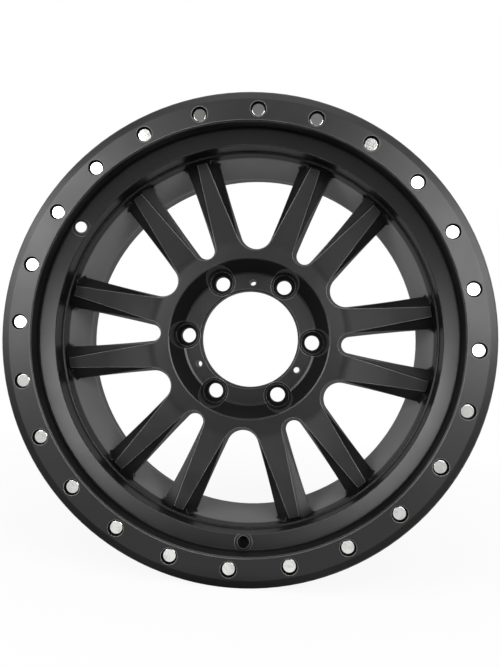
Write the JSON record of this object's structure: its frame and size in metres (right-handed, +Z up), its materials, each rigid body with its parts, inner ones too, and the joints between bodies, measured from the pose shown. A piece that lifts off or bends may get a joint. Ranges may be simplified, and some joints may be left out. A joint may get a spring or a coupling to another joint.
{
  "type": "car wheel",
  "caption": "Cast off-road car wheel with split tapered spokes, a deep dish, lug holes in a recessed hub and a bolted outer bead ring.",
  "frame": {"origin": "on the axle line, at the middle of the rim's width between the two bead flanges, which is also the plane of the hub's mounting face", "axes": "+Y along the axle towards the vehicle, so the street side faces -Y; +Z up; +X to the right as seen from the street side"},
  "size_m": [0.4712, 0.2123, 0.4712],
  "materials": {
    "satin_black": "satin black powder coat on cast aluminium",
    "ring_black": "satin black coat on a turned aluminium ring",
    "bolt_steel": "bright plated steel"
  },
  "bodies": {
    "root": {"wheel_casting": "satin_black", "outer_ring": "ring_black", "ring_bolts": "bolt_steel"}
  },
  "joints": []
}
